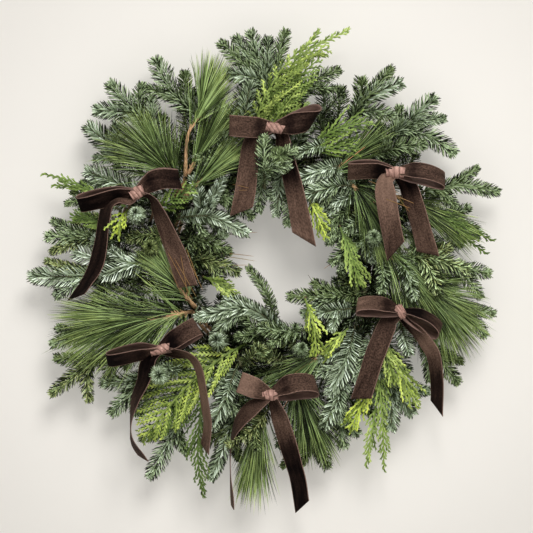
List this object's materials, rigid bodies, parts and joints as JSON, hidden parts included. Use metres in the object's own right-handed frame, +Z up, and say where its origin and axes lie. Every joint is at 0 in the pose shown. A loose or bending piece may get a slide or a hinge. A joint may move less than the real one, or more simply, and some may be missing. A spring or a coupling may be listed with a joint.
{
  "type": "fresh evergreen wreath",
  "caption": "Round fresh wreath of fir, pine and cedar sprays wired to a box wire ring, dressed with dark brown velvet ribbon bows, to hang on a wall or door.",
  "frame": {"origin": "where a nail bears on the frame, under the top of its outer back ring", "axes": "+X to the wreath's right as seen from the front, +Y back to the wall, +Z up"},
  "size_m": [0.568, 0.0945, 0.5891],
  "materials": {
    "coated_wire": "green enamel on steel wire",
    "fir_foliage": "blue-green needles with silvery undersides on brown twigs",
    "pine_foliage": "long soft green needles on orange-brown twigs",
    "cedar_foliage": "flat yellow-green scale leaves",
    "ribbon_velvet": "dark brown velvet ribbon with paler woven edges"
  },
  "bodies": {
    "root": {"back_inner_ring": "coated_wire", "back_outer_ring": "coated_wire", "binding_wire": "coated_wire", "bow_tie_1": "coated_wire", "bow_tie_2": "coated_wire", "bow_tie_3": "coated_wire", "bow_tie_4": "coated_wire", "bow_tie_5": "coated_wire", "bow_tie_6": "coated_wire", "cedar_spray_01": "cedar_foliage", "cedar_spray_02": "cedar_foliage", "cedar_spray_03": "cedar_foliage", "cedar_spray_04": "cedar_foliage", "fir_spray_01": "fir_foliage", "fir_spray_02": "fir_foliage", "fir_spray_03": "fir_foliage", "fir_spray_04": "fir_foliage", "fir_spray_05": "fir_foliage", "fir_spray_06": "fir_foliage", "fir_spray_07": "fir_foliage", "fir_spray_08": "fir_foliage", "fir_spray_09": "fir_foliage", "fir_spray_10": "fir_foliage", "fir_spray_11": "fir_foliage", "fir_spray_12": "fir_foliage", "fir_spray_13": "fir_foliage", "fir_spray_14": "fir_foliage", "fir_spray_15": "fir_foliage", "fir_spray_16": "fir_foliage", "fir_spray_17": "fir_foliage", "fir_spray_18": "fir_foliage", "fir_spray_19": "fir_foliage", "fir_spray_20": "fir_foliage", "fir_spray_21": "fir_foliage", "fir_spray_22": "fir_foliage", "fir_spray_23": "fir_foliage", "fir_spray_24": "fir_foliage", "fir_spray_25": "fir_foliage", "fir_spray_26": "fir_foliage", "fir_spray_27": "fir_foliage", "frame_brace_1": "coated_wire", "frame_brace_2": "coated_wire", "frame_brace_3": "coated_wire", "frame_brace_4": "coated_wire", "front_inner_ring": "coated_wire", "front_outer_ring": "coated_wire", "pine_spray_01": "pine_foliage", "pine_spray_02": "pine_foliage", "pine_spray_03": "pine_foliage", "pine_spray_04": "pine_foliage", "pine_spray_05": "pine_foliage", "pine_spray_06": "pine_foliage", "pine_spray_07": "pine_foliage", "pine_spray_08": "pine_foliage", "velvet_bow_1": "ribbon_velvet", "velvet_bow_2": "ribbon_velvet", "velvet_bow_3": "ribbon_velvet", "velvet_bow_4": "ribbon_velvet", "velvet_bow_5": "ribbon_velvet", "velvet_bow_6": "ribbon_velvet"}
  },
  "joints": []
}
